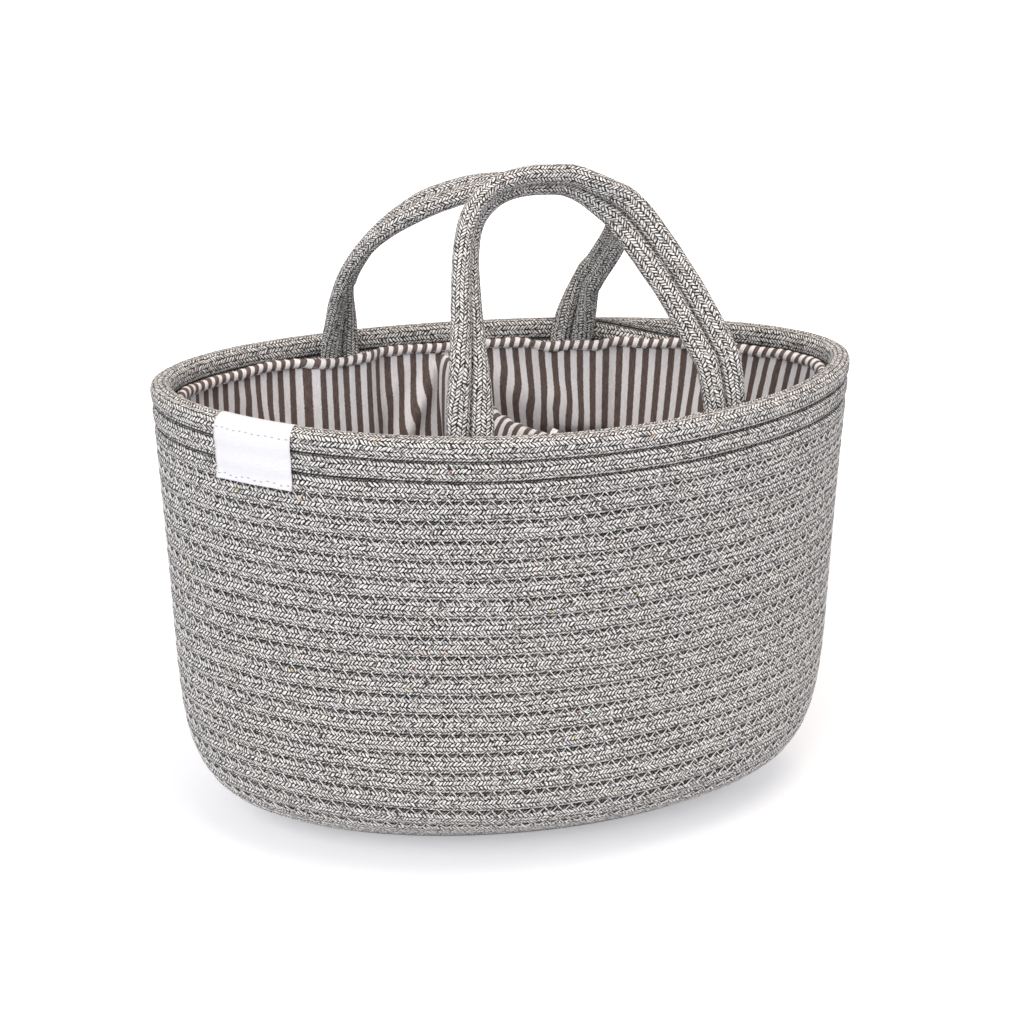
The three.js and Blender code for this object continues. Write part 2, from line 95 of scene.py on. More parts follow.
basket = {
    "length": 330.2, "depth": 177.8, "height": 228.6,
    "saddle": 5.7,  # the rim's ends stand this much above its middle
    "ovalPower": 1.88,  # 2 would be an ellipse
    "endCurl": 56.5, "endCurlRise": 20.5,
    "sideCurl": 43, "sideCurlRise": 21.1, "sideCurlPower": 1.8,
    "endWaist": 2.2, "sideWaist": 8.4,
    "ropeThick": 9.6, "rowPitch": 9.9, "rows": 24,
    "stations": 96,  # round the oval
    "facets": 24,  # flat stretches of the model's wall
    "climbStart": 12, "climbEnd": 20,  # stations between which the rope climbs a row
}
ropeRadius = basket["ropeThick"] / 2
topLevel = basket["height"] - ropeRadius
halvings = 34
fineShares = np.linspace(0, 1, 721)


size = partial(np.linalg.norm, axis=-1)


def signedPower(value, power):
    return np.sign(value) * np.abs(value) ** power


def unit(vectors):
    return vectors / size(vectors, keepdims=True)


# Points of the wall's outer face, with the level direction outwards and the normal there.
# turn goes from 0 at the right end through 0.25 at the back to 1.
def wallFrame(turn, level):
    turn, level = np.broadcast_arrays(np.asarray(turn, float), np.asarray(level, float))
    arc = math.pi * level / topLevel
    bend = math.pi / topLevel * np.cos(arc)
    low = np.maximum(level, 0) / basket["sideCurlRise"]
    endCurl = basket["endCurl"] * np.exp(-level / basket["endCurlRise"])
    sideCurl = basket["sideCurl"] * np.exp(-low ** basket["sideCurlPower"])
    halfLength = basket["length"] / 2 - endCurl - basket["endWaist"] * np.sin(arc)
    halfDepth = basket["depth"] / 2 - sideCurl - basket["sideWaist"] * np.sin(arc)
    endSlope = basket["endWaist"] * bend - endCurl / basket["endCurlRise"]
    fall = basket["sideCurlPower"] / basket["sideCurlRise"] * low ** (basket["sideCurlPower"] - 1)
    sideSlope = basket["sideWaist"] * bend - sideCurl * fall
    cosine, sine = np.cos(math.tau * turn), np.sin(math.tau * turn)
    flatter, rounder = 2 - 2 / basket["ovalPower"], 2 / basket["ovalPower"]
    flat = np.zeros(turn.shape)
    outward = unit(np.stack([
        signedPower(cosine, flatter) / halfLength, signedPower(sine, flatter) / halfDepth, flat,
    ], -1))
    roundCosine, roundSine = signedPower(cosine, rounder), signedPower(sine, rounder)
    x = halfLength * roundCosine
    endward = (2 * x / basket["length"]) ** 2
    saddle = basket["saddle"] * (endward - 0.5) * (level / basket["height"]) ** 2
    point = np.stack([x, halfDepth * roundSine, level + saddle], -1)
    normal = outward.copy()
    normal[..., 2] = (
        outward[..., 0] * roundCosine * endSlope + outward[..., 1] * roundSine * sideSlope
    )
    return point, outward, unit(normal)


def wallPoint(turn, level, depth):
    point, _, normal = wallFrame(turn, level)
    return point - normal * np.asarray(depth, float)[..., None]


# The same on the straight stretches between the model's stations
def facetPoint(turn, level, depth):
    station = np.floor(turn * basket["facets"])
    start = wallPoint(station / basket["facets"], level, depth)
    end = wallPoint((station + 1) / basket["facets"], level, depth)
    return start + (end - start) * (turn * basket["facets"] - station)


# Halves the span between low and high to where isBelow stops being true
def findEdge(low, high, isBelow):
    low, high = np.asarray(low, float).copy(), np.asarray(high, float).copy()
    for _ in range(halvings):
        middle = (low + high) / 2
        below = isBelow(middle)
        low, high = np.where(below, middle, low), np.where(below, high, middle)
    return high


def turnAt(x, side, level, depth):
    turn = float(findEdge(0.0, 0.5, lambda middle: wallPoint(middle, level, depth)[..., 0] > x))
    return turn if side > 0 else 1 - turn


def levelAt(turn, height, depth):
    turn = np.asarray(turn, float)
    top = np.full(turn.shape, basket["height"])
    return findEdge(
        np.zeros(turn.shape), top, lambda middle: wallPoint(turn, middle, depth)[..., 2] < height,
    )


def smooth(value):
    value = np.clip(value, 0, 1)
    return value * value * (3 - 2 * value)


def lengthAlong(points):
    steps = size(np.diff(points, axis=0))
    return np.concatenate([[0], np.cumsum(steps)])


# Levels of the rows, lowest first: one pitch apart everywhere, measured square to the rope
def rowLevels():
    turns = np.arange(basket["stations"]) / basket["stations"]
    levels = [np.full(turns.shape, topLevel)]
    ropeWay = np.cross(wallFrame(turns, topLevel)[1], up)
    for _ in range(basket["rows"] - 1):
        last = levels[0]
        centre = wallPoint(turns, last, ropeRadius)

        def isNear(drop):
            away = wallPoint(turns, last - drop, ropeRadius) - centre
            away -= ropeWay * np.sum(away * ropeWay, -1, keepdims=True)
            return size(away) < basket["rowPitch"]

        furthest = np.full(turns.shape, 2 * basket["rowPitch"])
        drop = findEdge(np.zeros(turns.shape), furthest, isNear)
        levels.insert(0, last - drop)
    return np.array(levels)


rows = rowLevels()
print("wall worked out:", len(rows), "rows")

# Making pieces


# Number of the point at a share of a line
def stepAt(share, line):
    return np.rint(share * (len(line) - 1)).astype(int)


# Adds a grid to the mesh and puts it where place(s, t) says; s and t are arrays from 0 to 1.
# place gives points, a UV in millimetres and how much painted shade each point takes in the groove
# beside its neighbour.
def placeGrid(mesh, columns, sides, place):
    clothMap = mesh.loops.layers.uv.get("cloth") or mesh.loops.layers.uv.new("cloth")
    grooveShadeLayer = mesh.verts.layers.float.get("grooveShade") or mesh.verts.layers.float.new("grooveShade")
    made = bmesh.ops.create_grid(mesh, x_segments=columns, y_segments=sides, size=0.5)["verts"]
    share = np.array([vert.co[:2] for vert in made]) + 0.5
    points, along, across, grooveShade = place(share[:, 0], share[:, 1])
    across, grooveShade = np.broadcast_to(across, len(made)), np.broadcast_to(grooveShade, len(made))
    for k, vert in enumerate(made):
        vert.co = points[k]
        vert[grooveShadeLayer] = grooveShade[k]
        for loop in vert.link_loops:
            loop[clothMap].uv = (along[k], across[k])


# Welds a mesh and makes it a finished piece in metres
def finishPiece(name, mesh, material, body=None, nodes=(), slot=None, closed=True, flip=False):
    bmesh.ops.remove_doubles(mesh, verts=mesh.verts, dist=1e-4)
    if closed:
        bmesh.ops.recalc_face_normals(mesh, faces=mesh.faces)
    if flip:
        bmesh.ops.reverse_faces(mesh, faces=mesh.faces)
    bmesh.ops.scale(mesh, vec=(metres, metres, metres), verts=mesh.verts)
    for face in mesh.faces:
        face.smooth = True
    piece = meshObject(name, mesh)
    piece.data.materials.append(material)
    if body:
        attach(piece, body)
    if nodes:
        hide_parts(*nodes)
    return piece


# Share of a rope's thickness along it, rounded off to nothing at both ends
def taperEnds(lengths, reach):
    return np.clip(np.minimum(lengths, lengths[-1] - lengths) / reach, 0, 1) ** 0.5


# A piece made of one grid
def gridPiece(name, columns, sides, place, *finish, **options):
    mesh = bmesh.new()
    placeGrid(mesh, columns, sides, place)
    return finishPiece(name, mesh, *finish, **options)


# How much painted shade a point of the rope takes: more the deeper it lies in the groove beside its
# neighbour
def grooveShadeAt(towardsNeighbour):
    return np.clip((towardsNeighbour - ropeYarn["grooveShadeFrom"]) / ropeYarn["grooveShadeWidth"], 0, 1)


# A ring of the rope's section: a circle pressed slightly square by its neighbours
def ropeSection(share, halfWidth, halfHeight, power):
    angle = math.tau * (share + 0.5)
    wide = halfWidth * signedPower(np.cos(angle), 2 / power)
    high = halfHeight * signedPower(np.sin(angle), 2 / power)
    return wide, high, angle


# Millimetres round the braid up to a share of the section, the same on every rope
def aroundRope(share, power):
    wide, high, _ = ropeSection(fineShares, 1, 1, power)
    lengths = lengthAlong(np.stack([wide, high], -1))
    around = np.interp(share, fineShares, lengths / lengths[-1])
    return around * ropeYarn["columns"] * ropeYarn["columnWidth"]


# Materials


def srgb(text):
    values = [int(text[k:k + 2], 16) / 255 for k in (1, 3, 5)]
    return [v / 12.92 if v <= 0.04045 else ((v + 0.055) / 1.055) ** 2.4 for v in values] + [1]


# One node with its settings; "Math SINE" is a Math node set to SINE. values fill its open inputs in
# order, sockets names others; each is a plain value, an output, or a node whose first open output
# is used.
def addNode(tree, kind, *values, sockets=(), **settings):
    kind, *operation = kind.split()
    node = tree.nodes.new("ShaderNode" + kind)
    if operation:
        node.operation = operation[0]
    for key, value in settings.items():
        setattr(node, key, value)
    pairs = list(zip([socket for socket in node.inputs if socket.enabled], values))
    pairs += [(node.inputs[key], value) for key, value in dict(sockets).items()]
    for socket, value in pairs:
        if isinstance(value, bpy.types.Node):
            value = next(output for output in value.outputs if output.enabled)
        if isinstance(value, bpy.types.NodeSocket):
            tree.links.new(value, socket)
        else:
            socket.default_value = value
    return node


def setStops(ramp, stops):
    elements = ramp.color_ramp.elements
    while len(elements) < len(stops):
        elements.new(0.5)
    for element, (place, colour) in zip(elements, stops):
        element.position = place
        element.color = srgb(colour)
    return ramp


def newMaterial(name, roughness, sheen=0.0):
    material = bpy.data.materials.new(name)
    material.use_nodes = True
    shader = material.node_tree.nodes["Principled BSDF"]
    shader.inputs["Roughness"].default_value = roughness
    shader.inputs["Sheen Weight"].default_value = sheen
    shader.inputs["Sheen Roughness"].default_value = 0.6
    shader.inputs["Specular IOR Level"].default_value = 0.25
    return material, partial(addNode, material.node_tree)


# Colours a material by a Mix node and raises it by relief millimetres
def dress(material, colour, height, relief):
    tree = material.node_tree
    shader = tree.nodes["Principled BSDF"]
    bump = addNode(tree, "Bump", sockets={"Height": height, "Distance": relief * metres})
    tree.links.new(colour.outputs[2], shader.inputs["Base Color"])
    tree.links.new(bump.outputs[0], shader.inputs["Normal"])
    return material


# The piece's cloth map as its two lengths in millimetres
def clothLengths(add):
    split = add("SeparateXYZ", add("UVMap", uv_map="cloth"))
    return split.outputs[0], split.outputs[1]


def wave(add, value, factor):
    return add("Math SINE", add("Math MULTIPLY", value, factor))


# Noise over two lengths, each with a scale of its own
def stretchedNoise(add, lengths, scales, **sockets):
    place = add("CombineXYZ", *(add("Math MULTIPLY", *pair) for pair in zip(lengths, scales)), 0.0)
    return add("TexNoise", sockets={"Vector": place, "Scale": 1.0, **sockets})


ropeYarn = {
    "columns": 14, "columnWidth": 2.23,  # of the braid's herringbone, round the rope
    "threadPitch": 1.66,  # between two threads along the rope
    "yarns": 2,  # that lie side by side in a thread
    "slant": 1.0,  # threads that one column's slope covers
    "columnSway": 0.6, "threadWander": 2.0,
    "relief": 0.5, "crestRound": 0.8, "ridgeRound": 0.35,
    "fibreScales": (1.55, 0.62),  # along a thread and round the rope
    "fibreShare": 1.9, "chanceShare": 0.22, "darken": -0.52,
    "shades": [(0.22, "#545251"), (0.38, "#bab7b4"), (0.53, "#f0edea"), (0.7, "#fffefb")],
    # The near-black colour on the next line is painted shade, for the low gaps between threads and the
    # grooves between ropes; the two numbers after it set how far and how strongly the gaps are shaded
    "gap": "#151413", "gapReach": 0.69, "gapDepth": 3.2, "fray": 1.3,
    # painted shade in the grooves between ropes: how far round towards the neighbour it starts, and
    # over how much it deepens
    "grooveShadeFrom": 0.8, "grooveShadeWidth": 0.17,  # of the way to the neighbouring rope
    "fleckShare": 0.9988, "fleckScales": (0.9, 1.2), "fleckSeed": 7.0,
    "flecks": [(0.2, "#b8642e"), (0.45, "#d9b13a"), (0.6, "#4d6f9c"), (0.8, "#8c3b2c")],
}


# Braided cotton rope, spun from mixed grey and ecru yarn and raised in a herringbone: the eye gets
# short light strokes with painted shade in the gaps between them and in the grooves between ropes,
# and a rare coloured fleck from recycled fibre.
def makeBraidedCotton():
    material, add = newMaterial("heatherBraidedCotton", 0.92, 0.15)
    along, around = clothLengths(add)
    place = add("TexCoord").outputs["Object"]
    wander = add("TexNoise", sockets={"Vector": place, "Scale": 140.0, "Detail": 2.0})
    sway = add(
        "TexNoise", sockets={"Vector": place, "Scale": 230.0, "Detail": 1.0}, noise_dimensions="4D",
    )
    columns = add("Math MULTIPLY", around, 1 / ropeYarn["columnWidth"])
    swayed = add("Math MULTIPLY_ADD", sway, ropeYarn["columnSway"], columns)
    column = add("Math SUBTRACT", swayed, ropeYarn["columnSway"] / 2)
    columnId = add("Math FLOOR", column)
    slope = add("Math MULTIPLY", add("Math PINGPONG", column, 1.0), ropeYarn["slant"])
    stagger = add("Math MULTIPLY_ADD", add("Math FLOORED_MODULO", columnId, 2.0), 0.5, slope)
    thread = add("Math MULTIPLY_ADD", along, 1 / ropeYarn["threadPitch"], stagger)
    thread = add("Math MULTIPLY_ADD", wander, ropeYarn["threadWander"], thread)
    crest = wave(add, add("Math FRACT", thread), math.pi)
    ridge = wave(add, add("Math FRACT", column), math.pi)
    height = add(
        "Math MULTIPLY", add("Math POWER", crest, ropeYarn["crestRound"]),
        add("Math POWER", ridge, ropeYarn["ridgeRound"]),
    )
    yarn = add("Math FLOOR", add("Math MULTIPLY", thread, ropeYarn["yarns"]))
    chance = add("TexWhiteNoise", add("CombineXYZ", yarn, columnId, 0.0), noise_dimensions="3D")
    fibre = stretchedNoise(add, (thread, around), ropeYarn["fibreScales"], Detail=1.5, Roughness=0.7)
    tone = add("Math MULTIPLY_ADD", fibre, ropeYarn["fibreShare"], ropeYarn["darken"])
    tone = add("Math MULTIPLY_ADD", chance, ropeYarn["chanceShare"], tone)
    colour = setStops(add("ValToRGB", tone), ropeYarn["shades"])
    fuzz = add("TexNoise", sockets={"Vector": place, "Scale": 800.0, "Detail": 1.0})
    frayed = add(
        "Math MULTIPLY_ADD", fuzz, ropeYarn["fray"],
        add("Math SUBTRACT", height, ropeYarn["fray"] / 2),
    )
    # Painted shade: the low, frayed gaps between threads are darkened towards near-black
    gap = add(
        "Math MULTIPLY", add("Math SUBTRACT", ropeYarn["gapReach"], frayed), ropeYarn["gapDepth"],
        use_clamp=True,
    )
    # Painted shade in the grooves between neighbouring ropes, mixed in with the same near-black
    grooveShade = add("Attribute", attribute_name="grooveShade").outputs["Fac"]
    for dark in (gap, grooveShade):
        colour = add("Mix", dark, colour, srgb(ropeYarn["gap"]), data_type="RGBA")
    cells = [
        add("Math FLOOR", add("Math MULTIPLY", *pair))
        for pair in zip((along, around), ropeYarn["fleckScales"])
    ]
    speck = add(
        "TexWhiteNoise", add("CombineXYZ", *cells, ropeYarn["fleckSeed"]), noise_dimensions="3D",
    )
    fleck = setStops(add("ValToRGB", speck.outputs[1]), ropeYarn["flecks"])
    isFleck = add("Math GREATER_THAN", speck, ropeYarn["fleckShare"])
    colour = add("Mix", isFleck, colour, fleck, data_type="RGBA")
    return dress(material, colour, height, ropeYarn["relief"])


stripes = {
    "pitch": 6.6, "gatheredPitch": 5.1,
    "dark": [(0.3, "#574944"), (0.7, "#7b6a64")],
    "light": [(0.3, "#ece8e8"), (0.7, "#fffdfd")],
    "threadPitch": 0.9,  # real threads lie 0.4 mm apart; drawn coarser so that they show
    "raggedness": 0.16, "edge": 4.0, "relief": 0.06,
    "yarnScales": (2.2, 0.25),  # along the cloth and across it
}


# Yarn-dyed plain-weave cotton in taupe and off-white: matt, with stripes whose edges step from
# thread to thread.
def makeStripedCotton(name, pitch):
    material, add = newMaterial(name, 0.95, 0.1)
    along, across = clothLengths(add)
    thread = stripes["threadPitch"]
    row = add("Math FLOOR", add("Math DIVIDE", across, thread))
    step = add("TexWhiteNoise", row, noise_dimensions="1D")
    warped = add("Math MULTIPLY_ADD", step, stripes["raggedness"], along)
    stripe = wave(add, warped, math.tau / pitch)
    band = add("Math MULTIPLY_ADD", stripe, stripes["edge"], 0.5, use_clamp=True)
    yarn = stretchedNoise(add, (along, across), stripes["yarnScales"], Detail=3.0)
    dark = setStops(add("ValToRGB", yarn), stripes["dark"])
    light = setStops(add("ValToRGB", yarn), stripes["light"])
    colour = add("Mix", band, dark, light, data_type="RGBA")
    warp, weft = (wave(add, lengths, math.tau / thread) for lengths in (along, across))
    return dress(material, colour, add("Math MULTIPLY", warp, weft), stripes["relief"])


# Plain sewing thread: a soft sheen on a fine twist
def makeThread(name, colour, lighter):
    material, add = newMaterial(name, 0.7, 0.1)
    place = add("TexCoord").outputs["Object"]
    fuzz = add("TexNoise", sockets={"Vector": place, "Scale": 900.0})
    return dress(material, add("Mix", fuzz, srgb(colour), srgb(lighter), data_type="RGBA"), fuzz, 0.1)


# Woven satin tape: white, smooth, with fine ribs across it
def makeSatinTape():
    material, add = newMaterial("wovenSatinTape", 0.5, 0.2)
    along, across = clothLengths(add)
    slub = stretchedNoise(add, (along, across), (0.3, 2.0), Detail=2.0)
    mixed = add("Mix", slub, srgb("#e6e7ec"), srgb("#f8f8fb"), data_type="RGBA")
    return dress(material, mixed, wave(add, across, math.tau / 0.8), 0.03)


# Knitted elastic: white, with raised ribs along it
def makeKnittedElastic():
    material, add = newMaterial("knittedElastic", 0.8)
    along, across = clothLengths(add)
    knit = wave(add, along, math.tau / 1.1)
    mixed = add("Mix", knit, srgb("#e9e6df"), srgb("#f6f4ef"), data_type="RGBA")
    return dress(material, mixed, wave(add, across, math.tau / 0.7), 0.15)


# Open-cell polyurethane foam: pale yellow, matt, full of small cells
def makeOpenCellFoam():
    material, add = newMaterial("openCellFoam", 1.0)
    place = add("TexCoord").outputs["Object"]
    cells = add("TexVoronoi", sockets={"Vector": place, "Scale": 900.0}).outputs["Distance"]
    mixed = add("Mix", cells, srgb("#cdc5ab"), srgb("#ece6d2"), data_type="RGBA")
    return dress(material, mixed, cells, 0.3)


braidedCotton = makeBraidedCotton()
liningCotton = makeStripedCotton("stripedCotton", stripes["pitch"])
gatheredCotton = makeStripedCotton("gatheredStripedCotton", stripes["gatheredPitch"])
sewingThread = makeThread("ecruSewingThread", "#efede9", "#ffffff")
heatherThread = makeThread("heatherSewingThread", "#7d7a77", "#dad7d2")
greyThread = makeThread("greySewingThread", "#85868e", "#b4b5bc")
satinTape = makeSatinTape()
knittedElastic = makeKnittedElastic()
openCellFoam = makeOpenCellFoam()
print("materials made")

# Rope wall

wallRope = {
    "sides": 16,
    "squareness": 3.2,  # 2 is round: sewn rows press each other flatter
    "waver": 0.3,  # how far rows wander by hand
    "waverFade": 20,  # below the rim
}
stations = basket["stations"]
climbSteps = basket["climbEnd"] - basket["climbStart"]


# Turn and level of the rope's middle at each step, with the share of its height that is there:
# both ends are cut slanting, and lie over or under the row that climbs there
def ropeRoute():
    steps = np.arange(-climbSteps, basket["rows"] * stations + 1)
    station = (steps + basket["climbEnd"]) % stations
    turn = (steps + basket["climbEnd"]) / stations
    row = np.floor_divide(steps, stations)
    climb = smooth((steps - row * stations - (stations - climbSteps)) / climbSteps)
    lower = rows[np.clip(row, 0, basket["rows"] - 1), station]
    upper = rows[np.clip(row + 1, 0, basket["rows"] - 1), station]
    level = lower + (upper - lower) * climb
    height = np.ones(len(steps))
    start, end = row < 0, row >= basket["rows"] - 1
    pitch = basket["rowPitch"]
    height[start] = climb[start]
    level[start] = lower[start] - (1 - climb[start]) * pitch / 2
    height[end] = 1 - climb[end]
    level[end] = lower[end] + climb[end] * pitch / 2
    height[-1] = 0
    return turn, level, height


def waver(turn, level):
    return wallRope["waver"] * (
        np.sin(math.tau * turn * 3 + level / 17) + 0.6 * np.sin(math.tau * turn * 11 + level / 9)
        + 0.4 * np.sin(math.tau * turn * 23 + level / 5)
    )


routeTurn, routeLevel, routeHeight = ropeRoute()
routeCentre = wallPoint(routeTurn, routeLevel, ropeRadius)
routeLength = lengthAlong(routeCentre)


def placeWallRope(s, t):
    step = stepAt(s, routeTurn)
    turn, level = routeTurn[step], routeLevel[step]
    _, outward, normal = wallFrame(turn, level)
    upWall = np.cross(normal, np.cross(up, outward))
    height = routeHeight[step]
    wide, high, angle = ropeSection(
        t, ropeRadius * np.sqrt(height), basket["rowPitch"] / 2 * height, wallRope["squareness"],
    )
    fade = np.minimum(1, (basket["height"] - level) / wallRope["waverFade"])
    sway = waver(turn, level) * fade
    centre = routeCentre[step] + upWall * (sway * height)[:, None]
    points = centre + normal * wide[:, None] + upWall * high[:, None]
    # Painted shade on the rope's top and bottom, in the grooves against the rows above and below
    rowBelow, rowAbove = step > climbSteps + stations, step < len(routeTurn) - stations
    grooveShade = grooveShadeAt(np.sin(angle)) * rowAbove + grooveShadeAt(-np.sin(angle)) * rowBelow
    return points, routeLength[step], aroundRope(t, wallRope["squareness"]), grooveShade


gridPiece(
    "wall_rope", len(routeTurn) - 1, wallRope["sides"], placeWallRope, braidedCotton,
    "basket", ["wall_coil"], "rope",
)
print("wall rope wound")

# Zigzag stitches over the seams between the rows

zigzag = {
    "pitch": 6.3, "reach": 1.9, "thread": 0.34, "under": 0.5,
    "plainRows": 2,  # under the rim, where the stitches don't show
    # share of a stitch's length, share of its reach, how deep it lies there
    "knots": [(0, 1, 0.55), (0.15, 0.72, -0.12), (0.85, -0.72, -0.12)],
}


# One thread through points, laid as a tube with four sides
def layThread(mesh, points, across, normals, radius):
    lengths = lengthAlong(points)

    def place(s, t):
        step = stepAt(s, points)
        angle = math.tau * t
        ring = across[step] * np.cos(angle)[:, None] + normals[step] * np.sin(angle)[:, None]
        ends = np.where((step == 0) | (step == len(points) - 1), 0.0, 1.0)
        tube = points[step] + ring * (radius * ends)[:, None]
        return tube, lengths[step], t * math.tau * radius, 0.0

    placeGrid(mesh, len(points) - 1, 4, place)


# A short stitch of five points, with its thread's width level
def laySmallStitch(mesh, line, normals, radius):
    layThread(mesh, line, np.tile(up, (5, 1)), normals, radius)


# Zigzag stitches as arrays: share of the seam, share of the reach, and height of each knot
def zigzagMarks(count, knots):
    return np.array([
        ((k + share) / count, reach * (1 if k % 2 else -1), height)
        for k in range(count) for share, reach, height in knots
    ]).T


def buildWallStitches():
    last = (basket["rows"] - 1 - zigzag["plainRows"]) * stations
    steps = climbSteps + np.arange(0, last + 1)
    seamTurn = routeTurn[steps]
    seamLevel = (routeLevel[steps] + routeLevel[steps + stations]) / 2
    seamLevel = seamLevel + waver(seamTurn, seamLevel)
    lengths = lengthAlong(wallPoint(seamTurn, seamLevel, 0))
    count = int(lengths[-1] / zigzag["pitch"] * 2)
    marks, sides, depths = zigzagMarks(count, zigzag["knots"])
    at = marks * lengths[-1]
    turn = np.interp(at, lengths, seamTurn)
    level = np.interp(at, lengths, seamLevel) + sides * zigzag["reach"]
    points = wallPoint(turn, level, zigzag["under"] + depths)
    _, outward, normal = wallFrame(turn, level)
    along = np.cross(up, outward)
    way = unit(along - np.cross(normal, along) * np.sign(sides)[:, None])
    mesh = bmesh.new()
    layThread(mesh, points, unit(np.cross(normal, way)), normal, zigzag["thread"])
    finishPiece("wall_stitches", mesh, sewingThread, "basket", slot="rope")


buildWallStitches()
print("wall stitched")

# Base: the same kind of rope wound flat, from the lowest row to the middle

baseRope = {"turnsInside": 4, "sides": 12, "squareness": 2.4, "clear": 0.3, "taperLength": 6}


def buildBaseRope():
    turns = np.arange(stations) / stations
    lowest = wallPoint(turns, rows[0], ropeRadius)
    reach = np.sqrt(basket["rowPitch"] ** 2 - (lowest[:, 2] - ropeRadius) ** 2)
    outward = wallFrame(turns, rows[0])[1]
    ring = lowest - outward * reach[:, None]
    halfLength, halfDepth = ring[:, 0].max(), ring[:, 1].max()
    pitch = halfDepth / (baseRope["turnsInside"] + 0.5)
    steps = np.arange(0, baseRope["turnsInside"] * stations + 1)
    turn = steps / stations
    inset = pitch * turn
    power = 2 / basket["ovalPower"]
    centre = np.stack([
        (halfLength - inset) * signedPower(np.cos(math.tau * turn), power),
        (halfDepth - inset) * signedPower(np.sin(math.tau * turn), power),
        np.full(len(turn), ropeRadius),
    ], -1)
    way = unit(np.gradient(centre, axis=0))
    sideways = np.cross(way, up)
    lengths = lengthAlong(centre)
    taper = taperEnds(lengths, baseRope["taperLength"])
    halfHeight = ropeRadius - baseRope["clear"] / 2

    def place(s, t):
        step = stepAt(s, steps)
        wide, high, angle = ropeSection(
            t, pitch / 2 * taper[step], halfHeight * taper[step], baseRope["squareness"],
        )
        points = centre[step] + sideways[step] * wide[:, None] + up * high[:, None]
        # Painted shade on the sides, in the grooves between turns; the outermost turn takes it on one
        # side only
        grooveShade = grooveShadeAt(-np.cos(angle)) + grooveShadeAt(np.cos(angle)) * (step >= stations)
        return points, lengths[step], aroundRope(t, baseRope["squareness"]), grooveShade

    gridPiece(
        "base_rope", len(steps) - 1, baseRope["sides"], place, braidedCotton,
        "basket", ["base_coil"], "rope",
    )


buildBaseRope()
print("base wound")

# Handles: plans shared by the ropes, the lining that lies over their feet, and the stitches

handleSizes = {
    "rope": 9.6, "span": 118, "hingeRise": 7.4, "footLength": 52, "footMargin": 12, "fitGap": 0.4,
    "sides": 16, "stepLength": 2.5, "knotLength": 9, "taperLength": 3,
    # down a foot from its top: shares of its length, and of its twist
    "footShares": np.linspace(0.12, 1, 5), "footTwistShares": np.array([1, 0.35, 0, 0, 0]),
    "halfWidth": 5.3, "halfThick": 4.05, "squareness": 2.25,  # sewn flat, wider than thick
    # how much painted shade lies in the groove between a handle's two ropes
    "grooveShade": 0.6,  # how dark the groove between the two ropes is
    "leanFrom": 9,  # above the hinge line; below it the ropes lean in gradually
    "bendBelow": 6, "bendAbove": 16,  # the ropes bend between these heights round the hinge line
}
handles = [
    {
        "name": "front", "side": -1, "centre": 31, "height": 98.5, "lean": 30,
        "arch": [
            (0, 0), (0.018, 0.12), (0.035, 0.3), (0.067, 0.64), (0.115, 0.84), (0.2, 0.95), (0.31, 1),
            (0.42, 1.004), (0.524, 0.99), (0.639, 0.906), (0.723, 0.81), (0.853, 0.526), (0.946, 0.26),
            (0.99, 0.1), (1, 0),
        ],
        # share of the arch's length, and how far the pair is twisted there in degrees
        "twist": [
            (0, 6), (0.02, 16), (0.13, 44), (0.245, 57), (0.33, 67), (0.42, 78), (0.52, 82),
            (0.585, 75), (0.63, 50), (0.67, 28), (0.75, 20), (0.9, 12), (1, 0),
        ],
        "footTwist": 0,
    },
    {
        "name": "back", "side": 1, "centre": -15, "height": 92, "lean": 34,
        "arch": [
            (0, 0), (-0.018, 0.08), (-0.048, 0.22), (-0.085, 0.395), (-0.113, 0.537), (-0.115, 0.68),
            (-0.05, 0.84), (0.07, 0.95), (0.214, 1.01), (0.36, 1.02), (0.491, 1), (0.602, 0.955),
            (0.73, 0.865), (0.87, 0.687), (0.955, 0.47), (0.992, 0.27), (1.002, 0.1), (1, 0),
        ],
        "twist": [
            (0, -42), (0.05, -78), (0.1, -95), (0.15, -98), (0.19, -96), (0.238, -86), (0.286, -74),
            (0.333, -60), (0.38, -51), (0.43, -45), (0.476, -47), (0.524, -56), (0.57, -62),
            (0.62, -65), (0.67, -63), (0.71, -58), (0.76, -54), (0.81, -55), (0.86, -58),
            (0.92, -60), (1, -58),
        ],
        "footTwist": -15,
    },
]
fitGap = handleSizes["fitGap"]
footDepth = basket["ropeThick"] + fitGap + handleSizes["rope"] / 2
hingeHeight = basket["height"] + handleSizes["hingeRise"]


def planHandle(handle):
    side, centre, half = handle["side"], handle["centre"], handleSizes["span"] / 2
    turns = [turnAt(centre + end * half, side, topLevel, footDepth) for end in (side, -side)]
    start, finish = (facetPoint(turn, topLevel, footDepth) for turn in turns)
    start[2] = finish[2] = hingeHeight
    along = unit(finish - start)
    lean = math.radians(handle["lean"])
    rise = up * math.cos(lean) + np.cross(up, along) * math.sin(lean)
    reach = size(finish - start)
    handle.update(turns=turns, start=start, along=along, rise=rise, reach=reach)


for handle in handles:
    planHandle(handle)
footTurns = [turn for handle in handles for turn in handle["turns"]]


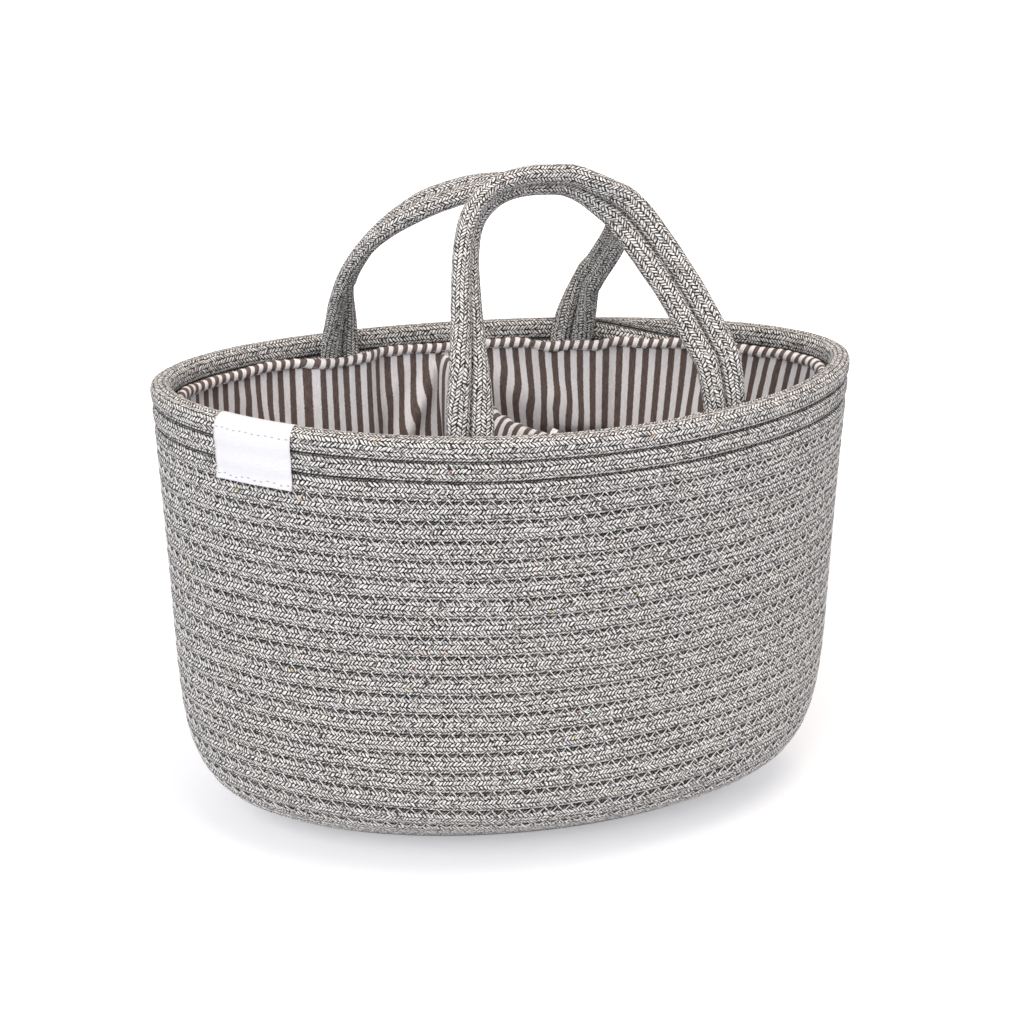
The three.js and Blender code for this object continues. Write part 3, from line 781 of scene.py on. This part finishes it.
# A smooth line through knots, stepLength apart; further columns are carried along
def smoothLine(knots, stepLength):
    knots = np.asarray(knots, float)
    padded = np.vstack([2 * knots[0] - knots[1], knots, 2 * knots[-1] - knots[-2]])
    share = np.linspace(0, 1, 12, endpoint=False)[:, None]
    parts = []
    for a, b, c, d in zip(padded, padded[1:], padded[2:], padded[3:]):
        parts.append(0.5 * (
            2 * b + (c - a) * share + (2 * a - 5 * b + 4 * c - d) * share ** 2
            + (3 * b - 3 * c + d - a) * share ** 3
        ))
    line = np.vstack(parts + [knots[-1:]])
    lengths = lengthAlong(line[:, :3])
    count = max(2, int(round(lengths[-1] / stepLength)))
    at = np.linspace(0, lengths[-1], count + 1)
    return np.stack([np.interp(at, lengths, line[:, k]) for k in range(line.shape[1])], -1)


# A sewn end of a handle's middle line from its top down, and the way from its inner to its outer rope
def footPath(handle, leg):
    turn = handle["turns"][leg]
    levels = basket["height"] - handleSizes["footShares"] * handleSizes["footLength"]
    near, far = (wallPoint(turn + step, levels, footDepth) for step in (-0.004, 0.004))
    ahead = unit(far - near)
    ahead *= np.sign(ahead @ handle["along"])[:, None]
    twist = np.radians(handleSizes["footTwistShares"] * handle["footTwist"])[:, None]
    outer = (ahead if leg else -ahead) * np.cos(twist) + wallFrame(turn, levels)[1] * np.sin(twist)
    return np.hstack([wallPoint(turn, levels, footDepth), outer])


# A handle's middle line, the way from its inner to its outer rope, and the way square to both
def handlePath(handle):
    knots = [(s * handle["reach"], h * handle["height"], 0) for s, h in handle["arch"]]
    flat = smoothLine(knots, handleSizes["knotLength"])
    lengths = lengthAlong(flat)
    way = unit(np.gradient(flat, axis=0))
    shares, twists = zip(*handle["twist"])
    twist = np.radians(np.interp(lengths / lengths[-1], shares, twists))[:, None]
    front = np.cross(handle["along"], handle["rise"])
    outwards = way[:, :1] * handle["rise"] - way[:, 1:2] * handle["along"]
    pair = np.cos(twist) * outwards + np.sin(twist) * front
    middle = handle["start"] + flat[:, :1] * handle["along"] + flat[:, 1:2] * handle["rise"]
    arch = np.hstack([middle, pair])[flat[:, 1] > handleSizes["leanFrom"]]
    whole = np.vstack([footPath(handle, 0)[::-1], arch, footPath(handle, 1)])
    middle, pair = np.hsplit(smoothLine(whole, handleSizes["stepLength"]), 2)
    ways = unit(np.gradient(middle, axis=0))
    pair = unit(pair - ways * np.sum(pair * ways, -1, keepdims=True))
    return middle, pair, np.cross(ways, pair)


def bendWithHandle(piece):
    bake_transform(piece)


def buildHandleRope(handle, rope, offset):
    middle, pair, square = handlePath(handle)
    centre = middle + pair * offset
    lengths = lengthAlong(centre)
    ends = taperEnds(lengths, handleSizes["taperLength"])

    def place(s, t):
        step = stepAt(s, centre)
        wide, high, angle = ropeSection(
            t, handleSizes["halfWidth"], handleSizes["halfThick"], handleSizes["squareness"],
        )
        at = lengths[step]
        swell = (1 + 0.015 * np.sin(at / 7.3) + 0.01 * np.sin(at / 3.1 + angle)) * ends[step]
        rim = pair[step] * (wide * swell)[:, None] + square[step] * (high * swell)[:, None]
        # Painted shade on the side of each rope that faces the other, in the groove between them
        grooveShade = grooveShadeAt(np.cos(angle) * -np.sign(offset)) * handleSizes["grooveShade"]
        return centre[step] + rim, at, aroundRope(t, handleSizes["squareness"]), grooveShade

    name = handle["name"]
    parts = (f"handle_{rope}_rope", f"steep_{rope}_foot", f"slanting_{rope}_foot")
    piece = gridPiece(
        f"{name}_{rope}_handle_rope", len(centre) - 1, handleSizes["sides"], place, braidedCotton,
        None, [f"{name}_{part}" for part in parts], "rope",
    )
    bendWithHandle(piece)


handleSeam = {
    "pitch": 6.0, "reach": 1.5, "thread": 0.26,
    # share of a stitch's length, share of its reach, how far it lies off the pair's middle
    "knots": [(0, 1, 1.9), (0.22, 0.56, 2.35), (0.78, -0.56, 2.35)],
}


# Zigzag stitches that hold a handle's two ropes together, on both of its faces
def buildHandleStitches(handle):
    middle, pair, square = handlePath(handle)
    lengths = lengthAlong(middle)
    count = int(lengths[-1] / handleSeam["pitch"] * 2)
    mesh = bmesh.new()
    marks, sides, heights = zigzagMarks(count, handleSeam["knots"])
    at, out = marks * lengths[-1], sides * handleSeam["reach"]
    for face in (1, -1):
        centre, across, normal = (
            np.stack([np.interp(at, lengths, values[:, k]) for k in range(3)], -1)
            for values in (middle, pair, square)
        )
        line = centre + across * out[:, None] + normal * (heights * face)[:, None]
        layThread(mesh, line, across, normal, handleSeam["thread"])
    piece = finishPiece(handle["name"] + "_handle_stitches", mesh, heatherThread, slot="rope")
    bendWithHandle(piece)


for handle in handles:
    buildHandleRope(handle, "outer", handleSizes["halfWidth"])
    buildHandleRope(handle, "inner", -handleSizes["halfWidth"])
    buildHandleStitches(handle)
print("handles made")

# Lining

lining = {
    "depth": basket["ropeThick"] + fitGap, "cloth": 0.6, "columns": 480, "levels": 70,
    "hemDrop": 8.5, "hemHeight": 5, "hemWidth": 4.2, "foot": basket["ropeThick"] + 0.3,
    "gatherPitch": 9.3, "gatherDepth": 1.1, "gatherFall": 13,
    "fan": -0.22, "fanReach": 75,  # at the right end the stripes lean, so much a millimetre down
    "stand": 0.5,  # how far the cloth stands off its solid's outer face
    "tuckIn": 1, "levelCrowding": 1.35, "footFade": 25,
}
hem = {
    "columns": 900, "sides": 14, "beadPitch": 5.1, "wrap": 0.25, "mapRound": 15,
    "stitchPitch": 4.2, "stitchShare": 0.72, "stitchRise": 0.9, "stitchOut": 0.25, "thread": 0.2,
}
elastic = {"columns": 240, "sides": 8, "high": 1.5, "thick": 0.6, "squareness": 4, "mapRound": 8}
floorCloth = {"columns": 120, "sides": 16, "ripple": 0.25}
hemTop = basket["height"] - lining["hemDrop"]
hemBottom = hemTop - lining["hemHeight"]
rimLengths = lengthAlong(wallPoint(fineShares, topLevel, lining["depth"]))
rimLength = rimLengths[-1]

# Folds of the lining: from one end to the other as (x, side of the basket, level), how wide and high
# each is, and how far it drags the stripes
folds = [
    {"ends": [(-26, 1, 207), (-50, 1, 158)], "wide": 5, "high": 5, "drag": 3},
    {"ends": [(-44, 1, 208), (-60, 1, 175)], "wide": 6, "high": 1.8, "drag": 1.2},
    {"ends": [(10, 1, 200), (30, 1, 178)], "wide": 9, "high": 2.6, "drag": 3.2},
    {"ends": [(30, 1, 196), (44, 1, 180)], "wide": 8, "high": 1.8, "drag": 2.6},
    {"ends": [(120, 1, 208), (98, 1, 160)], "wide": 8, "high": 2.6, "drag": 2},
    {"ends": [(140, 1, 206), (128, 1, 160)], "wide": 7, "high": 2.2, "drag": 1.5},
    {"ends": [(-120, 1, 205), (-96, 1, 165)], "wide": 7, "high": 1.8, "drag": -1.5},
]


def alongRim(turn):
    return np.interp(turn, fineShares, rimLengths)


# How far the lining bulges over the handles' feet
def footBulge(turn, level):
    margin = handleSizes["footMargin"]
    rise = smooth((level - (basket["height"] - handleSizes["footLength"] - margin)) / margin)
    here = wallPoint(turn, level, footDepth)
    nearest = np.zeros(np.shape(turn))
    for footTurn in footTurns:
        away = size(wallPoint(footTurn, level, footDepth) - here)
        nearest = np.maximum(nearest, 1 - smooth((away - margin) / margin))
    return (handleSizes["rope"] + fitGap) * rise * nearest


def foldShape(turn, level):
    arc = alongRim(turn)
    lift, drag = np.zeros(arc.shape), np.zeros(arc.shape)
    for fold in folds:
        start, end = (
            np.array([alongRim(turnAt(x, side, topLevel, lining["depth"])), height])
            for x, side, height in fold["ends"]
        )
        line = end - start
        offset = np.stack([arc, level], -1) - start
        share = np.clip(offset @ line / (line @ line), 0, 1)
        away = (offset[..., 0] * line[1] - offset[..., 1] * line[0]) / size(line)
        beyond = size(offset - share[..., None] * line)
        body = np.exp(-(beyond / fold["wide"]) ** 2)
        body = body * (0.35 + 0.65 * np.sin(math.pi * np.clip(share, 0.1, 0.9)))
        lift += fold["high"] * body
        drag += fold["drag"] * body * np.tanh(away / fold["wide"])
    return lift, drag


def liningShape(turn, level):
    arc = alongRim(turn)
    fallen = np.maximum(0, hemBottom - level)
    phase = math.tau * arc / lining["gatherPitch"]
    phase = phase + 1.9 * np.sin(arc / 31) + 1.3 * np.sin(arc / 13.7)
    gather = lining["gatherDepth"] * (0.5 + 0.5 * np.sin(phase))
    gather = gather * np.exp(-fallen / lining["gatherFall"])
    belly = np.sin(math.pi * np.clip(level / hemBottom, 0, 1))
    slack = 0.8 + 0.8 * np.sin(arc / 23 + level / 60) * belly
    lift, drag = foldShape(turn, level)
    drift = 0.8 * np.sin(arc / 41 + level / 38) + 0.35 * np.sin(arc / 17 - level / 21)
    fan = lining["fan"] * fallen * np.exp(-(arc / lining["fanReach"]) ** 2)
    return gather + slack + lift, drag + drift + fan


def placeLining(s, t):
    turns = np.linspace(0, 1, 97)
    low = np.interp(s, turns, levelAt(turns, lining["foot"], lining["depth"]))
    top = hemBottom + lining["tuckIn"]
    level = low + (top - low) * (1 - (1 - t) ** lining["levelCrowding"])
    height, drag = liningShape(s, level)
    fit = smooth((level - low) / lining["footFade"])
    depth = lining["depth"] + lining["stand"] + footBulge(s, level) + height * fit
    points = wallPoint(s, level, depth)
    return points, alongRim(s) + drag * fit, level, 0.0


# A sheet of cloth made of one grid
def clothPiece(thickness, *grid, **options):
    piece = gridPiece(*grid, closed=False, **options)
    solidify = piece.modifiers.new("cloth", "SOLIDIFY")
    solidify.thickness = thickness * metres
    solidify.offset = -1
    solidify.use_even_offset = False
    return piece


def placeHem(s, t):
    angle = math.tau * t
    arc = alongRim(s)
    phase = math.tau * arc / hem["beadPitch"] + 0.9 * np.sin(arc / 19)
    bead = 0.5 + 0.5 * np.sin(phase + 0.6 * np.sin(angle + arc / 7))
    ruffle = 1.0 + 0.16 * (bead - 0.5) + 0.06 * np.sin(arc / 3.3)
    middle = (hemTop + hemBottom) / 2 + 0.35 * np.sin(arc / 9.1) + 0.25 * np.sin(arc / 4.3)
    depth = lining["depth"] + lining["hemWidth"] / 2 + footBulge(s, middle)
    level = middle + lining["hemHeight"] / 2 * ruffle * np.sin(angle)
    radius = lining["hemWidth"] / 2 + hem["wrap"]
    points = wallPoint(s, level, depth - radius * ruffle * np.cos(angle))
    return points, arc + 0.8 * np.sin(angle), t * hem["mapRound"], 0.0


def placeElastic(s, t):
    angle = math.tau * t
    middle = (hemTop + hemBottom) / 2 - 0.2
    depth = lining["depth"] + lining["hemWidth"] / 2 + footBulge(s, middle)
    power = 2 / elastic["squareness"]
    level = middle + elastic["high"] * signedPower(np.sin(angle), power)
    depth = depth + elastic["thick"] * signedPower(np.cos(angle), power)
    return wallPoint(s, level, depth), alongRim(s), t * elastic["mapRound"], 0.0


# Running stitches just under the hem's middle
def buildHemStitches():
    mesh = bmesh.new()
    count = int(rimLength / hem["stitchPitch"])
    level = np.full(5, hemBottom + hem["stitchRise"])
    for k in range(count):
        arc = np.linspace(k, k + hem["stitchShare"], 5) / count * rimLength
        turn = np.interp(arc, rimLengths, fineShares)
        depth = lining["depth"] + lining["hemWidth"] + hem["stitchOut"] + footBulge(turn, level)
        line = wallPoint(turn, level, depth + np.array([-0.9, -0.1, 0, -0.1, -0.9]))
        laySmallStitch(mesh, line, wallFrame(turn, level)[2], hem["thread"])
    finishPiece("hem_stitches", mesh, greyThread, "basket", slot="striped_cotton")


def placeFloor(s, t):
    level = levelAt(s, lining["foot"], lining["depth"])
    edge = wallPoint(s, level, lining["depth"] + lining["stand"] + lining["cloth"])
    points = edge * t[:, None]
    ripple = floorCloth["ripple"] * np.sin(points[:, 0] / 17 + points[:, 1] / 11)
    ripple = ripple * np.sin(math.pi * np.clip(t, 0, 1))
    points[:, 2] = lining["foot"] + lining["cloth"] + ripple
    return points, points[:, 0], points[:, 1], 0.0


liningPiece = clothPiece(
    lining["cloth"], "lining_cloth", lining["columns"], lining["levels"], placeLining, liningCotton,
    "basket", ["lining_wall"], "striped_cotton", flip=True,
)
hemPiece = gridPiece(
    "hem_roll", hem["columns"], hem["sides"], placeHem, gatheredCotton,
    "basket", ["lining_hem"], "striped_cotton",
)
gridPiece(
    "elastic_band", elastic["columns"], elastic["sides"], placeElastic, knittedElastic,
    "basket", ["hem_elastic"], "elastic",
)
buildHemStitches()
floorPiece = clothPiece(
    lining["cloth"], "lining_base_cloth", floorCloth["columns"], floorCloth["sides"], placeFloor,
    liningCotton, "basket", ["lining_floor"], "striped_cotton",
)
print("lining hung")

# Label: a woven tape folded over the rim and sewn down

label = {
    "width": 34, "drop": 27.4, "inset": 44.1, "tuck": 2.5, "stand": 0.55, "cloth": 0.45,
    "columns": 28, "lengthSteps": 60,
    "chord": 0.93,  # share of its width as seen from the front, where the wall curves
    "stitch": 1.7, "stitchGap": 1.05, "thread": 0.2,
    "stitchRows": [(24.2, 0.2), (2.4, 0.5)],  # how far up the tape, and how much they stray
}


# Point of the label's middle sheet: across from 0 to 1, run in millimetres from its lower edge up
# over the rim and down inside
def labelPoint(across, run):
    centre = label["inset"] - basket["length"] / 2
    half = label["width"] / 2 * label["chord"]
    left, right = (turnAt(centre + end * half, -1, topLevel, 0) for end in (-1, 1))
    turn = left + (right - left) * across
    front = label["drop"] - ropeRadius
    radius = ropeRadius + label["stand"]
    over = math.pi * radius
    angle = np.clip((run - front) / radius, 0, math.pi)
    below = np.maximum(0, front - run)
    tucked = np.maximum(0, run - front - over)
    level = topLevel - below - tucked + radius * np.sin(angle)
    corner = np.clip(1 - run / 5, 0, 1) * (2 * np.abs(across - 0.5)) ** 3
    puff = 0.45 * np.sin(below / basket["rowPitch"] * math.tau - 0.6) * (below > 0)
    depth = ropeRadius - radius * np.cos(angle) - (0.35 + puff * 0.5) * (run < front) - 1.1 * corner
    depth = depth - 0.35 * np.sin(math.pi * across) * np.clip(below / 10, 0, 1)
    return wallPoint(turn, level, depth), turn


def labelLength():
    return label["drop"] - ropeRadius + math.pi * (ropeRadius + label["stand"]) + label["tuck"]


def placeLabel(s, t):
    run = t * labelLength()
    points, _ = labelPoint(s, run)
    return points, s * label["width"], run, 0.0


# Running stitches across the label, standing a little proud of the tape
def buildLabelStitches():
    mesh = bmesh.new()
    pitch = label["stitch"] + label["stitchGap"]
    count = int(label["width"] / pitch)
    for run, stray in label["stitchRows"]:
        for k in range(count):
            across = (k + 0.2 + np.linspace(0, label["stitch"], 5) / pitch) / count
            line, turn = labelPoint(across, np.full(5, run + stray * np.sin(k * 1.7)))
            normal = wallFrame(turn, basket["height"] - label["drop"] / 2)[2]
            line = line + normal * np.array([0.1, 0.5, 0.62, 0.5, 0.1])[:, None]
            laySmallStitch(mesh, line, normal, label["thread"])
    finishPiece("label_stitches", mesh, greyThread, "basket", slot="label_weave")


labelPiece = clothPiece(
    label["cloth"], "label_tape", label["columns"], label["lengthSteps"], placeLabel, satinTape,
    "basket", ["label"], "label_weave", flip=True,
)
buildLabelStitches()
print("label sewn on")

# Divider: foam in a striped cover, swelled by a cloth simulation

divider = {
    "route": [
        (-0.105, 0.92), (-0.1, 0.66), (-0.088, 0.4), (-0.06, 0.1), (-0.01, -0.2), (0.06, -0.42),
        (0.145, -0.61), (0.24, -0.8),
    ],
    "voxel": 4, "ease": 1.6,  # its cover starts so far outside the foam
    "pressure": 4, "stiffness": 15, "frames": 20, "cap": 3.0, "pinned": 2.5, "routeStep": 0.5,
    "crown": 5, "crownDrop": 45,  # the top edge is puffed up so far, from so far below it
    "flare": 6, "flareReach": 26,  # the end at the back is puffed to the left
    "fillingInset": 1, "fillingLow": 2,
}


# A copy of a CAD node's mesh, welded, as a new object
def copyNode(node, name):
    mesh = bmesh.new()
    mesh.from_mesh(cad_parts[node].data)
    bmesh.ops.remove_doubles(mesh, verts=mesh.verts, dist=1e-5)
    return meshObject(name, mesh)


def evaluate(piece):
    return piece.evaluated_get(bpy.context.evaluated_depsgraph_get())


def applyModifiers(piece):
    data = bpy.data.meshes.new_from_object(evaluate(piece))
    piece.modifiers.clear()
    old, piece.data = piece.data, data
    bpy.data.meshes.remove(old)


def points(piece):
    return np.array([vert.co for vert in piece.data.vertices])


def moveTo(piece, places):
    piece.data.vertices.foreach_set("co", places.astype(np.float32).ravel())
    piece.data.update()


def pushOut(piece, distance):
    mesh = bmesh.new()
    mesh.from_mesh(piece.data)
    mesh.normal_update()
    for vert in mesh.verts:
        vert.co += vert.normal * distance * metres
    mesh.to_mesh(piece.data)
    mesh.free()


# Swells the pad for some frames, with its upright edges and foot held, and caps how far it moves
def swell(pad):
    start = points(pad)
    low, high = start.min(0), start.max(0)
    held = pad.vertex_groups.new(name="held")
    reach = divider["pinned"] * metres
    ends = (start[:, 1] < low[1] + 2 * reach) | (start[:, 1] > high[1] - 2 * reach)
    edge = ends | (start[:, 2] < low[2] + reach)
    held.add([int(k) for k in np.nonzero(edge)[0]], 1.0, "REPLACE")
    cloth = pad.modifiers.new("swell", "CLOTH")
    settings = cloth.settings
    settings.use_pressure = True
    settings.uniform_pressure_force = divider["pressure"]
    settings.effector_weights.gravity = 0
    settings.vertex_group_mass = "held"
    settings.tension_stiffness = settings.compression_stiffness = divider["stiffness"]
    cloth.point_cache.frame_end = divider["frames"]
    for step in range(1, divider["frames"] + 1):
        scene.frame_set(step)
    moved = points(evaluate(pad))
    pad.modifiers.remove(cloth)
    scene.frame_set(1)
    change = moved - start
    far = size(change, keepdims=True)
    cap = divider["cap"] * metres
    moveTo(pad, start + change * np.minimum(1, cap / np.maximum(far, 1e-9)))


# Stripes run up the pad: the cloth map's first length goes along its route, and on past both ends
def mapDivider(pad):
    scales = basket["length"] / 2, basket["depth"] / 2
    knots = np.array([(x * scales[0], y * scales[1], 0) for x, y in divider["route"]])
    before, after = 2 * knots[:1] - knots[1:2], 2 * knots[-1:] - knots[-2:-1]
    route = smoothLine(np.vstack([before, knots, after]), divider["routeStep"])
    lengths = lengthAlong(route)
    places = points(pad) / metres
    away = size(places[:, None, :2] - route[None, :, :2])
    along = lengths[away.argmin(1)]
    clothMap = pad.data.uv_layers.new(name="cloth")
    for loop in pad.data.loops:
        k = loop.vertex_index
        clothMap.data[loop.index].uv = (along[k], places[k][2])


# Puffs a piece's top edge up by rise, and its end at the back to the left
def puff(piece, rise):
    places = points(piece)
    _, back, top = points(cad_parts["divider_cover"]).max(0)
    share = smooth(1 - (top - places[:, 2]) / (divider["crownDrop"] * metres))
    end = smooth(1 - (back - places[:, 1]) / (divider["flareReach"] * metres))
    places[:, 2] += share * rise * metres
    places[:, 0] -= end * smooth(places[:, 2] / top * 3 - 1.6) * divider["flare"] * metres
    moveTo(piece, places)


# A copy of the foam in small even faces, moved out by distance
def foamShape(name, distance):
    piece = copyNode("divider_foam", name)
    remesh = piece.modifiers.new("even", "REMESH")
    remesh.mode = "VOXEL"
    remesh.voxel_size = divider["voxel"] * metres
    applyModifiers(piece)
    pushOut(piece, distance)
    return piece


def buildDivider():
    pad = foamShape("divider_pad", divider["ease"])
    swell(pad)
    refine = pad.modifiers.new("smooth", "SUBSURF")
    refine.levels = refine.render_levels = 1
    applyModifiers(pad)
    puff(pad, divider["crown"])
    mapDivider(pad)
    pad.data.materials.append(liningCotton)
    for face in pad.data.polygons:
        face.use_smooth = True
    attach(pad, "divider")
    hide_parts("divider_cover")
    filling = foamShape("divider_filling", -divider["fillingInset"])
    puff(filling, -divider["fillingLow"])
    filling.modifiers.new("smooth", "SUBSURF")
    filling.data.materials.append(openCellFoam)
    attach(filling, "divider")
    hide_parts("divider_foam")
    return pad


dividerPad = buildDivider()
print("divider padded:", len(dividerPad.data.polygons), "faces")

# Floor, backdrop and light

stage = {
    "floorRadius": 1.6, "floor": "#ededf0",
    "nearGlow": 0.36, "farGlow": 0.8, "glowFrom": 0.34, "glowTo": 0.95,  # by distance in metres
    "glow": "#ffffff", "sky": "#f8f9fc", "world": 0.5, "worldGlow": 0.6,
    "aim": (0, 0, 0.15),  # where the lamps point, in metres
    "lamps": [  # name, place in metres, size, power in watts, colour
        ("key_lamp", (-0.95, -1.3, 1.25), 1.2, 18.8, "#fdfdff"),
        ("fill_lamp", (1.4, -1.1, 0.7), 1.4, 5.5, "#f2f5ff"),
        ("top_lamp", (0.2, -0.3, 1.8), 1.0, 13.5, "#ffebd8"),
    ],
}


# White paper sweep: it takes the object's shadow and glows a little to the camera alone
def makeStudioFloor():
    material, add = newMaterial("paperSweep", 0.9)
    tree = material.node_tree
    shader = tree.nodes["Principled BSDF"]
    shader.inputs["Base Color"].default_value = srgb(stage["floor"])
    cameraRay = add("LightPath").outputs["Is Camera Ray"]
    away = add("VectorMath LENGTH", add("TexCoord").outputs["Object"]).outputs["Value"]
    spread = add("MapRange", away, interpolation_type="SMOOTHSTEP", sockets={
        "From Min": stage["glowFrom"], "From Max": stage["glowTo"],
        "To Min": stage["nearGlow"], "To Max": stage["farGlow"],
    })
    strength = add("Math MULTIPLY", cameraRay, spread)
    glow = add("Emission", sockets={"Color": srgb(stage["glow"]), "Strength": strength})
    both = add("AddShader", shader.outputs[0], glow)
    tree.links.new(both.outputs[0], tree.nodes["Material Output"].inputs[0])
    return material


def buildStage():
    mesh = bmesh.new()
    bmesh.ops.create_circle(mesh, cap_ends=True, segments=96, radius=stage["floorRadius"])
    floor = meshObject("studio_floor", mesh)
    floor.data.materials.append(makeStudioFloor())


def addLamp(name, place, size, energy, colour):
    lamp = newObject(name, bpy.data.lights.new(name, "AREA"))
    lamp.data.size, lamp.data.energy, lamp.data.color = size, energy, srgb(colour)[:3]
    lamp.location = place
    aim = Vector(stage["aim"]) - Vector(place)
    lamp.rotation_euler = aim.to_track_quat("-Z", "Y").to_euler()


def lightScene():
    world = bpy.data.worlds.new("studio")
    scene.world = world
    world.use_nodes = True
    add = partial(addNode, world.node_tree)
    cameraRay = add("LightPath").outputs["Is Camera Ray"]
    strength = add("Math MULTIPLY_ADD", cameraRay, stage["worldGlow"], stage["world"])
    background = world.node_tree.nodes["Background"]
    background.inputs["Color"].default_value = srgb(stage["sky"])
    world.node_tree.links.new(strength.outputs[0], background.inputs["Strength"])
    for lamp in stage["lamps"]:
        addLamp(*lamp)


buildStage()
lightScene()
scene.view_settings.view_transform = "Standard"
print("stage lit")
